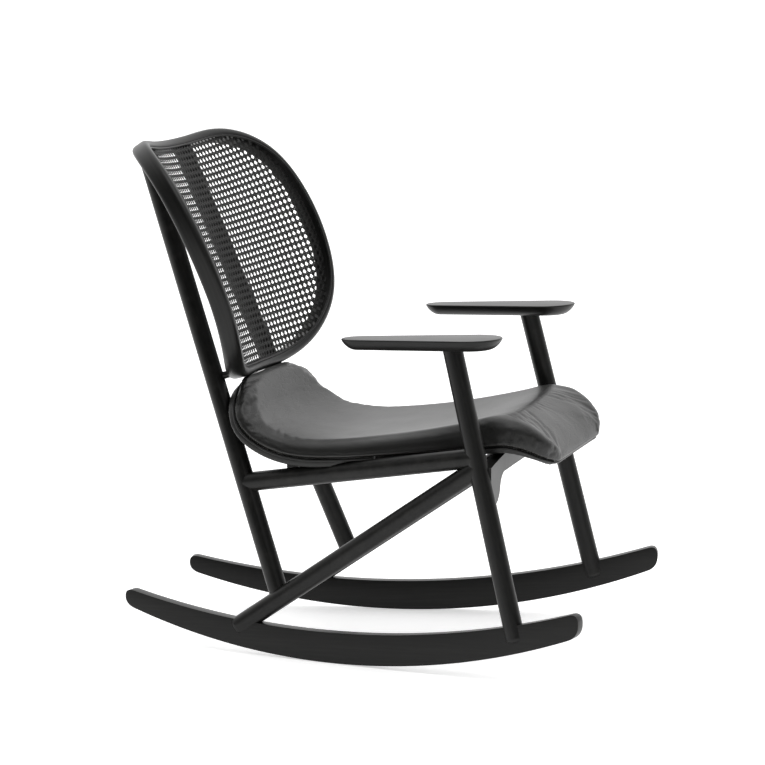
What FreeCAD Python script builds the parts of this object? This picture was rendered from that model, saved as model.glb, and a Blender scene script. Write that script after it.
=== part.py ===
import FreeCAD, Part
import math
import os
from FreeCAD import Vector, Placement, Rotation

# Bentwood rocking chair. Floor at z = 0, the chair faces -y, and -x is the
# sitter's right. Lengths in millimetres, angles in degrees.
os.makedirs("parts", exist_ok=True)
doc = FreeCAD.newDocument("rocking_chair")
dims = doc.addObject("Spreadsheet::Sheet", "dims")

values = [
    ("rocker_length", 931.0), ("rocker_thickness", 22.0), ("rocker_sole_radius", 1357.0),
    ("rocker_top_radius", 1757.0), ("rocker_mid_depth", 56.5), ("rocker_top_offset", 34.5),
    ("rocker_rear_reach", 429.5), ("splay_angle", 9.95),
    ("contact_half_width", 247.0), ("contact_depth", 28.7), ("frame_shift", 6.7),
    ("bar_diameter", 36.0), ("bar_end_round", 8.0), ("tenon_diameter", 24.0),
    ("tenon_reach", 607.0), ("leg_foot_reach", 377.0), ("leg_foot_height", 74.0),
    ("leg_top_reach", 244.5), ("leg_top_height", 600.0), ("leg_lean", 7.6),
    ("strut_foot_reach", -194.0), ("strut_foot_height", 46.5), ("strut_top_height", 383.0),
    ("rail_rear_height", 317.0), ("rail_front_height", 401.0),
    ("post_foot_half_width", 222.0), ("post_foot_depth", 131.0), ("post_foot_height", 108.0),
    ("post_top_half_width", 93.5), ("post_top_depth", 438.5), ("post_top_height", 930.0),
    ("arm_half_spacing", 280.0), ("arm_length", 298.0), ("arm_rear_depth", -7.0),
    ("arm_thickness", 21.0), ("arm_rear_radius", 33.0), ("arm_front_radius", 55.0),
    ("arm_undercut", 18.0), ("arm_top_height", 612.0), ("arm_slope", 2.0),
    ("hoop_bottom_depth", 236.6), ("hoop_bottom_height", 504.2), ("hoop_height", 479.0),
    ("hoop_depth", 36.0), ("hoop_thickness", 18.0), ("back_recline", 22.3),
    ("back_recline_gain", 8.8), ("back_recline_curve", 3.3), ("back_wing", 69.6),
    ("back_wing_loss", 11.8), ("back_wing_curve", 7.2), ("cane_thickness", 2.4),
    ("cane_setback", 4.0), ("spline_height", 2.6), ("hoop_extra_depth", 4.4),
    ("seat_shell_thickness", 9.0), ("seat_dish", 12.0), ("yoke_thickness", 22.0),
    ("yoke_depth", -280.0), ("yoke_arch_height", 365.0), ("yoke_end_height", 304.0),
    ("dowel_diameter", 10.0), ("screw_diameter", 5.0), ("screw_head_diameter", 9.0),
    ("rear_rail_depth", 110.0), ("rear_rail_bottom", 322.0), ("welt_diameter", 4.4),
    ("housing_depth", 6.0), ("spacer_diameter", 14.0),
]
for row, (alias, value) in enumerate(values, start=1):
    dims.set("A%d" % row, alias)
    dims.set("B%d" % row, str(value))
    dims.setAlias("B%d" % row, alias)
doc.recompute()


def dim(alias):
    return float(getattr(dims, alias))


splay = math.radians(dim("splay_angle"))
bar_radius = dim("bar_diameter") / 2
sole_radius = dim("rocker_sole_radius")
shift = dim("frame_shift")
up = Vector(0, 0, 1)


def side_point(reach, height, inset=0.0):
    # A point of the right side frame: reach forward of the floor contact along the
    # rocker, height above the floor, inset from the rocker plane.
    x = dim("contact_half_width") + reach * math.sin(splay) - inset * math.cos(splay)
    y = dim("contact_depth") - reach * math.cos(splay) - inset * math.sin(splay)
    return Vector(-x, y + shift, height)


def leg_point(height):
    part = (height - dim("leg_foot_height")) / (dim("leg_top_height") - dim("leg_foot_height"))
    reach = dim("leg_foot_reach") + part * (dim("leg_top_reach") - dim("leg_foot_reach"))
    return side_point(reach, height, part * dim("leg_lean"))


def post_point(height):
    low = Vector(dim("post_foot_half_width"), dim("post_foot_depth"), dim("post_foot_height"))
    high = Vector(dim("post_top_half_width"), dim("post_top_depth"), dim("post_top_height"))
    part = (height - low.z) / (high.z - low.z)
    spot = low + (high - low) * part
    return Vector(-spot.x, spot.y + shift, height)


def along(start, end):
    return Placement(start, Rotation(up, end - start))


def cylinder(name, start, end, diameter):
    item = doc.addObject("Part::Cylinder", name)
    item.setExpression("Radius", "dims.%s / 2" % diameter)
    item.Height = (end - start).Length
    item.Placement = along(start, end)
    return item


def joined(name, items):
    if len(items) == 1:
        return items[0]
    item = doc.addObject("Part::MultiFuse", name)
    item.Shapes = items
    return item


def cut(name, base, tools):
    item = doc.addObject("Part::Cut", name)
    item.Base = base
    item.Tool = joined(name + "_tools", tools)
    return item


def origin_plane(body, role):
    return [f for f in body.Origin.OriginFeatures if f.Role == role][0]


def new_sketch(body, role, name):
    sketch = body.newObject("Sketcher::SketchObject", name)
    sketch.AttachmentSupport = (origin_plane(body, role), [""])
    sketch.MapMode = "FlatFace"
    return sketch


def line(first, second):
    return Part.LineSegment(Vector(*first, 0), Vector(*second, 0))


def arc(first, middle, last):
    return Part.Arc(Vector(*first, 0), Vector(*middle, 0), Vector(*last, 0))


# Rockers: bent boards on edge, deeper in the middle than at the tips.
def sole_height(reach):
    return sole_radius - math.sqrt(sole_radius ** 2 - reach ** 2)


def crown_height(reach):
    radius = dim("rocker_top_radius")
    away = reach + dim("rocker_top_offset")
    return dim("rocker_mid_depth") + radius - math.sqrt(radius ** 2 - away ** 2)


rocker = doc.addObject("PartDesign::Body", "rocker_board")
sketch = new_sketch(rocker, "XZ_Plane", "rocker_profile")
rear = -dim("rocker_rear_reach")
front = rear + dim("rocker_length")
rear_low, rear_high = (rear + 16, sole_height(rear + 16)), (rear + 13, crown_height(rear + 13))
front_low = (front - 20, sole_height(front - 20))
front_high = (front - 17, crown_height(front - 17))
rear_tip = (rear, (rear_low[1] + rear_high[1]) / 2 + 2)
front_tip = (front, (front_low[1] + front_high[1]) / 2 + 2)
sketch.addGeometry(arc(rear_low, (0, 0), front_low))
sketch.addGeometry(arc(front_low, front_tip, front_high))
sketch.addGeometry(arc(front_high, (0, crown_height(0)), rear_high))
sketch.addGeometry(arc(rear_high, rear_tip, rear_low))
pad = rocker.newObject("PartDesign::Pad", "rocker_pad")
pad.Profile = sketch
pad.Midplane = True
pad.setExpression("Length", "dims.rocker_thickness")
doc.recompute()
turn = -90 - dim("splay_angle")
rocker.Placement = Placement(side_point(0, 0), Rotation(up, turn))
rocker.Tip = pad
doc.recompute()


# Turned bars with a rounded lower end, for the legs and the struts.
def turned_bar(name, start, end):
    length = (end - start).Length
    body = doc.addObject("PartDesign::Body", name)
    sketch = new_sketch(body, "XZ_Plane", name + "_profile")
    corner = dim("bar_end_round")
    lean = corner * (1 - math.sqrt(0.5))
    points = [(bar_radius, corner), (bar_radius, length), (0, length), (0, 0),
              (bar_radius - corner, 0)]
    for first, second in zip(points[:-1], points[1:]):
        sketch.addGeometry(line(first, second))
    sketch.addGeometry(arc(points[-1], (bar_radius - lean, lean), points[0]))
    turning = body.newObject("PartDesign::Revolution", name + "_turning")
    turning.Profile = sketch
    turning.ReferenceAxis = (sketch, ["V_Axis"])
    turning.Angle = 360
    body.Tip = turning
    body.Placement = along(start, end)
    return body


# Back panel surface: across is the distance from the middle, rise is measured
# along the reclined middle line from the bottom of the hoop.
def recline(rise):
    part = (rise - 240) / 240
    return math.radians(dim("back_recline") + dim("back_recline_gain") * part
                        + dim("back_recline_curve") * part * part)


def middle_line(rise):
    depth, height, here = dim("hoop_bottom_depth") + shift, dim("hoop_bottom_height"), 0.0
    steps = 40
    for _ in range(steps):
        angle = recline(here + rise / steps / 2)
        depth += math.sin(angle) * rise / steps
        height += math.cos(angle) * rise / steps
        here += rise / steps
    return depth, height


def back_point(across, rise):
    depth, height = middle_line(rise)
    part = (rise - 240) / 240
    wing = dim("back_wing") - dim("back_wing_loss") * part + dim("back_wing_curve") * part * part
    wing = wing * (across / 300.0) ** 2
    angle = recline(rise)
    return Vector(across, depth - math.cos(angle) * wing, height + math.sin(angle) * wing)


def back_normal(across, rise):
    step = 1.0
    sideways = back_point(across + step, rise) - back_point(across - step, rise)
    upward = back_point(across, rise + step) - back_point(across, rise - step)
    return upward.cross(sideways).normalize()


# Outer outline of the hoop on that surface, a smooth closed line.
outline_nodes = [(0, -2.1), (109.8, -0.2), (216.7, 22.8), (300.7, 90.5), (338.4, 193.0),
                 (342.0, 302.2), (307.9, 405.7), (218.5, 465.2), (109.8, 478.6),
                 (0, dim("hoop_height"))]
whole = outline_nodes + [(-x, w) for x, w in reversed(outline_nodes[1:-1])]
outline = Part.BSplineCurve()
outline.interpolate(Points=[Vector(x, w, 0) for x, w in whole], PeriodicFlag=True)
outline_edge = outline.toShape()
turns = outline_edge.discretize(Number=4001)
half_turns = [p for p in turns if p.x >= -0.01]
half_turns.sort(key=lambda p: math.atan2(p.x, 240 - p.y))


def outline_at(angle):
    # Point and inward direction of the outline at an angle from straight down.
    best = min(range(len(half_turns)),
               key=lambda k: abs(math.atan2(half_turns[k].x, 240 - half_turns[k].y) - angle))
    spot = half_turns[best]
    ahead = half_turns[min(best + 3, len(half_turns) - 1)]
    behind = half_turns[max(best - 3, 0)]
    run = (ahead - behind).normalize()
    if best < 4 or best > len(half_turns) - 5:
        run = Vector(1 if best < 4 else -1, 0, 0)
        spot = Vector(0, spot.y, 0)
    return spot, Vector(-run.y, run.x, 0)


def ring_frame(angle):
    # Outer front corner of the ring, its rearward and its inward direction.
    spot, inward = outline_at(angle)
    base = back_point(spot.x, spot.y)
    normal = Vector(0, math.cos(recline(spot.y)), -math.sin(recline(spot.y)))
    tip = back_point(spot.x + inward.x * 10, spot.y + inward.y * 10)
    thick = (tip - base).normalize()
    thick = (thick - normal * thick.dot(normal)).normalize()
    if abs(spot.x) < 0.5:
        thick = Vector(0, thick.y, thick.z).normalize()
    return base, normal, thick


def deepening(angle):
    # The ring is a little deeper along the bottom, where it is screwed to the frame.
    low = max(0.0, 1 - outline_at(angle)[0].y / 150)
    return 1 + dim("hoop_extra_depth") / dim("hoop_depth") * low


def ring_section(angle, corners, arcs):
    # A closed section of the ring: corners are (inward, rearward) offsets.
    base, normal, thick = ring_frame(angle)
    normal = normal * deepening(angle)
    points = [base + thick * a + normal * b for a, b in corners]
    edges = []
    for first, middle, last in arcs:
        if middle is None:
            edges.append(Part.LineSegment(points[first], points[last]).toShape())
        else:
            edges.append(Part.Arc(points[first], points[middle], points[last]).toShape())
    return Part.Wire(edges)


def ring(corners, arcs, stations=24):
    sections = []
    for k in range(stations + 1):
        sections.append(ring_section(math.pi * k / stations, corners, arcs))
    half = Part.makeLoft(sections, True, False)
    other = half.mirror(Vector(0, 0, 0), Vector(1, 0, 0))
    return half.fuse(other).removeSplitter()


deep, thick = dim("hoop_depth"), dim("hoop_thickness")
hoop_corners = [(thick, 0.6), (9, 0.0), (3.2, 2.6), (1.0, 8.0), (0, deep / 2), (1.0, deep - 8),
                (3.2, deep - 2.6), (9, deep), (thick, deep - 0.6)]
hoop_arcs = [(0, None, 1), (1, 2, 3), (3, 4, 5), (5, 6, 7), (7, None, 8), (8, None, 0)]
hoop_blank = ring(hoop_corners, hoop_arcs)

# Cane panel: a thin sheet bent to the same surface, its edge in the hoop groove.
setback = dim("cane_setback")
panel_inset = thick - 5.0


def sheet_section(rise, half_width, front, back):
    def at(across, depth):
        return back_point(across, rise) + back_normal(across, rise) * depth
    edges = [Part.Arc(at(-half_width, front), at(0, front), at(half_width, front)).toShape(),
             Part.LineSegment(at(half_width, front), at(half_width, back)).toShape(),
             Part.Arc(at(half_width, back), at(0, back), at(-half_width, back)).toShape(),
             Part.LineSegment(at(-half_width, back), at(-half_width, front)).toShape()]
    return Part.Wire(edges)


sheet = Part.makeLoft([sheet_section(rise, 340, setback, setback + dim("cane_thickness"))
                       for rise in range(-20, 521, 60)], True, False)
middle = back_point(0, dim("hoop_height") / 2)
facing = Vector(0, math.cos(recline(240)), -math.sin(recline(240)))
rim = []
for k in range(-35, 36):
    spot, inward = outline_at(math.pi * abs(k) / 36)
    place = spot + inward * panel_inset
    across = place.x if k >= 0 else -place.x
    here = back_point(across, place.y) + back_normal(across, place.y) * setback
    rim.append(here - facing * (here - middle).dot(facing))
rim.append(Vector(0, 0, 0))
spot, inward = outline_at(math.pi)
here = back_point(0, spot.y - panel_inset) + back_normal(0, spot.y - panel_inset) * setback
rim[-1] = here - facing * (here - middle).dot(facing)
rim_curve = Part.BSplineCurve()
rim_curve.interpolate(Points=rim, PeriodicFlag=True)
plug = Part.Face(Part.Wire([rim_curve.toShape()])).extrude(facing * 400)
plug.translate(facing * -200)
cane_shape = sheet.common(plug)
cane = doc.addObject("Part::Feature", "cane_panel")
cane.Shape = cane_shape

# Cane spline: a flat reed that covers the edge of the cane along the hoop, its
# inner corner planed off.
bead = dim("spline_height")
spline_corners = [(thick, setback - bead), (thick + bead, setback - bead),
                  (thick + bead * 1.8, setback - bead * 0.4), (thick + bead * 1.8, setback),
                  (thick, setback)]
spline_arcs = [(0, None, 1), (1, None, 2), (2, None, 3), (3, None, 4), (4, None, 0)]
spline_shape = ring(spline_corners, spline_arcs).cut(cane_shape)
spline = doc.addObject("Part::Feature", "cane_spline")
spline.Shape = spline_shape
doc.recompute()

# Right side frame: leg, strut, rail and post of one 36 mm bar stock.
leg = turned_bar("leg_bar", leg_point(dim("leg_foot_height")), leg_point(dim("leg_top_height")))
strut_foot = side_point(dim("strut_foot_reach"), dim("strut_foot_height"))
strut_top = leg_point(dim("strut_top_height"))
strut = turned_bar("strut_bar", strut_foot, strut_top)
rail_rear, rail_front = post_point(dim("rail_rear_height")), leg_point(dim("rail_front_height"))
rail = cylinder("rail_bar", rail_rear, rail_front, "bar_diameter")
post_foot = post_point(dim("post_foot_height"))
post = cylinder("post_bar", post_point(dim("post_foot_height") - 4),
                post_point(dim("post_top_height") + 20), "bar_diameter")
doc.recompute()


# Armrests: flat paddles, widest over the leg, with the underside cut back.
arm = doc.addObject("PartDesign::Body", "arm_board")
sketch = new_sketch(arm, "XY_Plane", "arm_outline")
small, large = dim("arm_rear_radius"), dim("arm_front_radius")
back_y, front_y = dim("arm_length") / 2 - small, large - dim("arm_length") / 2
lean = math.asin((large - small) / (back_y - front_y))
rear_tangent = (small * math.cos(lean), back_y + small * math.sin(lean))
front_tangent = (large * math.cos(lean), front_y + large * math.sin(lean))
rear_other, front_other = (-rear_tangent[0], rear_tangent[1]), (-front_tangent[0], front_tangent[1])
sketch.addGeometry(arc(rear_tangent, (0, back_y + small), rear_other))
sketch.addGeometry(line(rear_other, front_other))
sketch.addGeometry(arc(front_other, (0, front_y - large), front_tangent))
sketch.addGeometry(line(front_tangent, rear_tangent))
pad = arm.newObject("PartDesign::Pad", "arm_pad")
pad.Profile = sketch
pad.Reversed = True
pad.setExpression("Length", "dims.arm_thickness")
doc.recompute()
under, over = [], []
for number, edge in enumerate(pad.Shape.Edges, start=1):
    box = edge.BoundBox
    if box.ZMax < 0.01 - dim("arm_thickness"):
        under.append("Edge%d" % number)
    if box.ZMin > -0.01:
        over.append("Edge%d" % number)
bevel = arm.newObject("PartDesign::Chamfer", "arm_bevel")
bevel.Base = (pad, under)
bevel.setExpression("Size", "dims.arm_undercut")
arm.Tip = bevel
doc.recompute()
centre = dim("arm_rear_depth") - dim("arm_length") / 2
spot = Vector(-dim("arm_half_spacing"), centre + shift, dim("arm_top_height"))
arm.Placement = Placement(spot, Rotation(Vector(1, 0, 0), -dim("arm_slope")))
doc.recompute()

# Seat: one curved tray seen in side view as a run of stations. Each station is
# depth, height, pad thickness, half width and edging depth.
stations = [(232.0, 497.5, 14.0, 122.0, 11.0), (231.5, 484.0, 20.0, 166.0, 13.0),
            (225.0, 463.0, 25.0, 207.0, 15.0), (203.0, 424.0, 28.0, 238.0, 16.0),
            (152.0, 391.0, 28.0, 244.0, 17.0),
            (88.0, 378.0, 28.0, 248.0, 17.0), (20.0, 379.5, 29.0, 250.0, 16.0),
            (-70.0, 388.0, 32.0, 252.0, 14.0), (-165.0, 398.0, 38.0, 252.0, 12.0),
            (-235.0, 408.0, 42.0, 252.0, 12.0), (-265.0, 412.0, 45.0, 250.0, 12.0),
            (-300.0, 415.0, 45.0, 246.0, 12.0), (-326.0, 410.0, 42.0, 236.0, 12.0),
            (-346.0, 401.0, 36.0, 222.0, 11.0), (-362.0, 391.0, 30.0, 204.0, 10.0),
            (-376.0, 382.0, 20.0, 176.0, 9.0)]
path = Part.BSplineCurve()
path.interpolate(Points=[Vector(0, y + shift, z) for y, z, *_ in stations])
path_marks = [path.parameter(Vector(0, y + shift, z)) for y, z, *_ in stations]


def seat_frame(index):
    mark = path_marks[index]
    run = path.tangent(mark)[0]
    lift = Vector(0, run.z, -run.y)
    if lift.z < 0:
        lift = lift * -1
    return path.value(mark), lift.normalize()


def seat_section(index, half, lower, upper, soft, ease=0.0):
    # lower and upper are heights over the tray line at the edge of the seat.
    base, lift = seat_frame(index)
    nominal, depth = stations[index][3], stations[index][0]
    run = path.tangent(path_marks[index])[0]
    base = base + run * ease
    fade = max(0.5, min(1.0, 1.0 - (-depth - 200) / 200))
    dish = dim("seat_dish") * min(1.0, 0.35 + index / 8.0) * fade
    inner = half - (soft * 0.75 if soft else 2.0)
    belly = (lower + upper) / 2

    def at(across, height):
        return base + Vector(across, 0, 0) + lift * (height - dish * (1 - (across / nominal) ** 2))
    rise = upper - lower
    tuck = min(6.0, half - inner) if soft else 0.0
    edges = [Part.Arc(at(-inner, upper), at(0, upper), at(inner, upper)).toShape()]
    if soft:
        edges.append(Part.Arc(at(inner, upper), at(half - soft * 0.16, lower + rise * 0.80),
                              at(half, lower + rise * 0.45)).toShape())
        edges.append(Part.Arc(at(half, lower + rise * 0.45), at(half - tuck * 0.35, lower + rise * 0.18),
                              at(half - tuck, lower)).toShape())
        edges.append(Part.Arc(at(half - tuck, lower), at(0, lower), at(tuck - half, lower)).toShape())
        edges.append(Part.Arc(at(tuck - half, lower), at(tuck * 0.35 - half, lower + rise * 0.18),
                              at(-half, lower + rise * 0.45)).toShape())
        edges.append(Part.Arc(at(-half, lower + rise * 0.45), at(soft * 0.16 - half, lower + rise * 0.80),
                              at(-inner, upper)).toShape())
    else:
        edges.append(Part.Arc(at(inner, upper), at(half, belly), at(inner, lower)).toShape())
        edges.append(Part.Arc(at(inner, lower), at(0, lower), at(-inner, lower)).toShape())
        edges.append(Part.Arc(at(-inner, lower), at(-half, belly), at(-inner, upper)).toShape())
    return Part.Wire(edges)


count = len(stations)
pad_wires = [seat_section(0, 110, 1, 10, 8, -3)]
tray_wires, shell_wires = [], []
for k, (_, _, pad_thick, half, edging) in enumerate(stations):
    pad_wires.append(seat_section(k, half, -4, pad_thick, pad_thick))
    end_ease = 4.0 if k == 0 else (-4.0 if k == count - 1 else 0.0)
    tray_wires.append(seat_section(k, half - 5, -edging, 0, 0))
    shell_wires.append(seat_section(k, half - 11, -dim("seat_shell_thickness"), 3, 0, end_ease))
pad_wires.append(seat_section(count - 1, 162, 2, 13, 9, 6))
pad_solid = Part.makeLoft(pad_wires, True, False)
tray_solid = Part.makeLoft(tray_wires, True, False)
shell_solid = Part.makeLoft(shell_wires, True, False)
shell_shape = shell_solid.common(tray_solid)
pad_shape = pad_solid.cut(tray_solid)

# Welt: a cord sewn into the seam, down one side, along the front lip and back.
welt_points = []
for k, (_, _, _, half, _) in enumerate(stations):
    base, lift = seat_frame(k)
    welt_points.append(base + lift * -4 + Vector(half - 4.5, 0, 0))
base, lift = seat_frame(count - 1)
ahead = path.tangent(path_marks[-1])[0]
lip = [base + ahead * 5 + lift * -3 + Vector(x, 0, 0) for x in (150, 75, 0)]
right_way = [Vector(-p.x, p.y, p.z) for p in welt_points + lip[:-1]]
welt_line = Part.BSplineCurve()
welt_line.interpolate(Points=welt_points + lip + right_way[::-1])
welt_wire = Part.Wire([welt_line.toShape()])
start = welt_line.value(welt_line.FirstParameter)
heading = welt_line.tangent(welt_line.FirstParameter)[0]
ring_wire = Part.Wire([Part.makeCircle(dim("welt_diameter") / 2, start, heading)])
welt_solid = welt_wire.makePipeShell([ring_wire], True, True)
welt_shape = welt_solid.cut(pad_shape.fuse(tray_solid))
welt_shape = max(welt_shape.Solids, key=lambda solid: solid.Volume)


# Cross boards under the seat, one arched between the legs and one between the
# side rails. Their top edges are scribed to the seat, their ends to the bars.
def board(name, depth, thickness, outline_edges):
    body = doc.addObject("PartDesign::Body", name)
    sketch = new_sketch(body, "XZ_Plane", name + "_outline")
    for edge in outline_edges:
        sketch.addGeometry(edge)
    pad = body.newObject("PartDesign::Pad", name + "_pad")
    pad.Profile = sketch
    pad.Midplane = True
    pad.setExpression("Length", thickness)
    body.Tip = pad
    body.Placement = Placement(Vector(0, dim(depth) + shift, 0), Rotation())
    return body


arch, low = dim("yoke_arch_height"), dim("yoke_end_height")
half_arch = [(296, low - 1), (268, low + 8), (243, low + 17), (232, low + 30),
             (223, arch - 12), (194, arch - 1)]
left_arch = [(-x, z) for x, z in half_arch]
yoke_edges = [arc((-296, 384), (0, 406), (296, 384)), line((296, 384), half_arch[0]),
              line(half_arch[0], half_arch[1]), arc(half_arch[1], half_arch[2], half_arch[3]),
              arc(half_arch[3], half_arch[4], half_arch[5]),
              arc(half_arch[5], (0, arch + 1), left_arch[5]),
              arc(left_arch[5], left_arch[4], left_arch[3]),
              arc(left_arch[3], left_arch[2], left_arch[1]),
              line(left_arch[1], left_arch[0]), line(left_arch[0], (-296, 384))]
yoke_board = board("yoke_board", "yoke_depth", "dims.yoke_thickness", yoke_edges)
low = dim("rear_rail_bottom")
rear_edges = [line((-212, 374), (212, 374)), line((212, 374), (212, low)),
              line((212, low), (150, low)), arc((150, low), (0, low + 16), (-150, low)),
              line((-150, low), (-212, low)), line((-212, low), (-212, 374))]
rear_board = board("rear_board", "rear_rail_depth", "dims.yoke_thickness", rear_edges)

# Joints of the frame. Dowels are blind; the rocker pins go in from the inside.
joints = {"rocker_pins": [], "frame_dowels": [], "yoke_dowels": [], "hoop_screws": [],
          "seat_screws": []}


def dowel(group, name, centre, direction, before, after):
    start = centre - direction * before
    item = cylinder(name, start, centre + direction * after, "dowel_diameter")
    joints[group].append(item)
    return item


def screw(group, name, head, direction, length):
    shank = cylinder(name + "_shank", head, head + direction * length, "screw_diameter")
    cap = cylinder(name + "_cap", head, head + direction * 3.0, "screw_head_diameter")
    item = joined(name, [shank, cap])
    joints[group].append(item)
    return item


finished = {}
inward = (side_point(0, 0, 1) - side_point(0, 0)).normalize()
leg_pin = dowel("rocker_pins", "leg_pin", leg_point(93), inward * -1, 17.2, 12)
strut_pin = dowel("rocker_pins", "strut_pin", side_point(dim("strut_foot_reach") + 14, 54),
                  inward * -1, 17.2, 12)
run = (rail_front - rail_rear).normalize()
rear_dowel = dowel("frame_dowels", "rail_rear_dowel", rail_rear, run, 2, 34)
front_dowel = dowel("frame_dowels", "rail_front_dowel", rail_front, run, 42, 6)
strut_run = (strut_top - strut_foot).normalize()
top_dowel = dowel("frame_dowels", "strut_top_dowel", strut_top, strut_run, 60, -4)
post_run = (post_point(500) - post_foot).normalize()
foot_dowel = dowel("frame_dowels", "post_foot_dowel", post_foot, post_run, 6, 40)
yoke_pins = []
for height in (318, 366):
    spot = Vector(leg_point(height).x, dim("yoke_depth") + shift, height)
    yoke_pins.append(dowel("yoke_dowels", "yoke_dowel_%d" % height, spot, Vector(1, 0, 0), 2, 44))


def hoop_place(height, first, last):
    # The frame of the hoop's right half where the post passes it at this height.
    top_x = -post_point(height).x
    steps = [math.pi * k / 720 for k in range(first, last)]
    angle = min((abs(outline_at(step)[0].x - top_x), step) for step in steps)[1]
    return [Vector(-v.x, v.y, v.z) for v in ring_frame(angle)]


# The post ends in a shallow housing in the inner face of the hoop.
corner, _, inner = hoop_place(905, 540, 720)
face = corner + inner * (dim("hoop_thickness") - dim("housing_depth"))
stop = doc.addObject("Part::Box", "post_stop")
stop.Length, stop.Width, stop.Height = 200, 200, 200
turn = Rotation(up, inner * -1)
stop.Placement = Placement(face - turn.multVec(Vector(100, 100, 0)), turn)

# Screws: through the post and a spacer into the lower bar of the hoop, and up
# through the side rail into the seat shell.
corner, backward, inner = hoop_place(512, 60, 300)
rear_face = corner + inner * (dim("hoop_thickness") / 2)
rear_face = rear_face + backward * (dim("hoop_depth") + dim("hoop_extra_depth"))
spacer = cylinder("spacer", rear_face - backward * 3, rear_face + backward * 24, "spacer_diameter")
hoop_screw = screw("hoop_screws", "hoop_screw", rear_face + backward * 36, backward * -1, 50)
seat_screws = []
for spot_y in (35, -60):
    part = (rail_rear.y - shift - spot_y) / (rail_rear.y - rail_front.y)
    spot = rail_rear + (rail_front - rail_rear) * part
    seat_screws.append(screw("seat_screws", "seat_screw_%d" % abs(spot_y), spot - up * 15, up, 38))

# Scribe the bars to each other.
tenon = cylinder("tenon", leg_point(584), leg_point(dim("tenon_reach")), "tenon_diameter")
leg_cut = cut("leg_cut", leg, [rocker, arm, leg_pin, front_dowel, top_dowel] + yoke_pins)
right = {
    "front_leg": joined("leg_with_tenon", [leg_cut, tenon]),
    "armrest": cut("arm_cut", arm, [tenon]),
    "rocker": cut("rocker_cut", rocker, [leg_pin, strut_pin]),
    "side_rail": cut("rail_cut", rail, [post, leg, rear_dowel, front_dowel] + seat_screws),
    "strut": cut("strut_cut", strut, [rocker, leg, rail, strut_pin, top_dowel, foot_dowel]),
    "rear_post": cut("post_cut", post, [strut, stop, rear_dowel, foot_dowel, hoop_screw]),
}


def mirrored(name, item):
    other = doc.addObject("Part::Mirroring", name)
    other.Source = item
    other.Normal = Vector(1, 0, 0)
    return other


for node, item in right.items():
    finished[node + "_right"] = item
    finished[node + "_left"] = mirrored(node + "_mirror", item)
for group, items in joints.items():
    one_side = joined(group + "_right", items)
    finished[group] = joined(group + "_set", [one_side, mirrored(group + "_mirror", one_side)])
doc.recompute()


def both_sides(item):
    return [item.Shape, item.Shape.mirror(Vector(0, 0, 0), Vector(1, 0, 0))]


hoop_shape = hoop_blank.cut(cane_shape)
for shape in both_sides(right["rear_post"]) + [finished["hoop_screws"].Shape]:
    hoop_shape = hoop_shape.cut(shape)
cover_shape = tray_solid.cut(shell_solid)
for shape in both_sides(rail) + [finished["seat_screws"].Shape]:
    cover_shape = cover_shape.cut(shape)
    shell_shape = shell_shape.cut(shape)
for node, shape in (("back_hoop", hoop_shape), ("seat_shell", shell_shape), ("seat_pad", pad_shape),
                    ("seat_under_cover", cover_shape), ("seat_welt", welt_shape)):
    item = doc.addObject("Part::Feature", node + "_solid")
    item.Shape = shape
    finished[node] = item
tray = doc.addObject("Part::Feature", "seat_envelope")
tray.Shape = tray_solid.fuse(pad_solid)
finished["cane_panel"], finished["cane_spline"] = cane, spline
finished["front_yoke"] = cut("yoke_cut", yoke_board,
                             [tray, leg, mirrored("leg_mirror", leg), finished["yoke_dowels"]])
finished["rear_cross_rail"] = cut("rear_cut", rear_board, [tray, rail, mirrored("rail_mirror", rail)])
spacer_cut = cut("spacer_cut", spacer, [finished["back_hoop"], post, hoop_screw])
finished["hoop_spacers"] = joined("hoop_spacers_set",
                                  [spacer_cut, mirrored("spacer_mirror", spacer_cut)])
doc.recompute()

problems = 0
for item in doc.Objects:
    if "Invalid" in item.State or "Error" in item.State:
        print("problem with", item.Name, item.State)
        problems += 1
for node, item in finished.items():
    item.Label = node
    shape = item.Shape
    good = not shape.isNull() and shape.isValid() and len(shape.Solids) >= 1
    if not good:
        problems += 1
    print(node, "ok" if good else "BAD", len(shape.Solids) if good else "")
    if good:
        shape.exportStep("parts/%s.step" % node)
print("problems", problems)
boxes = [item.Shape.optimalBoundingBox(True, False) for item in finished.values()]
print("depth from", min(b.YMin for b in boxes), "to", max(b.YMax for b in boxes))
print("width from", min(b.XMin for b in boxes), "to", max(b.XMax for b in boxes))
print("height from", min(b.ZMin for b in boxes), "to", max(b.ZMax for b in boxes))
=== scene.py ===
import bpy
import bmesh
import math
import numpy as np
from mathutils import Matrix, Vector, noise
from mathutils.bvhtree import BVHTree


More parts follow.
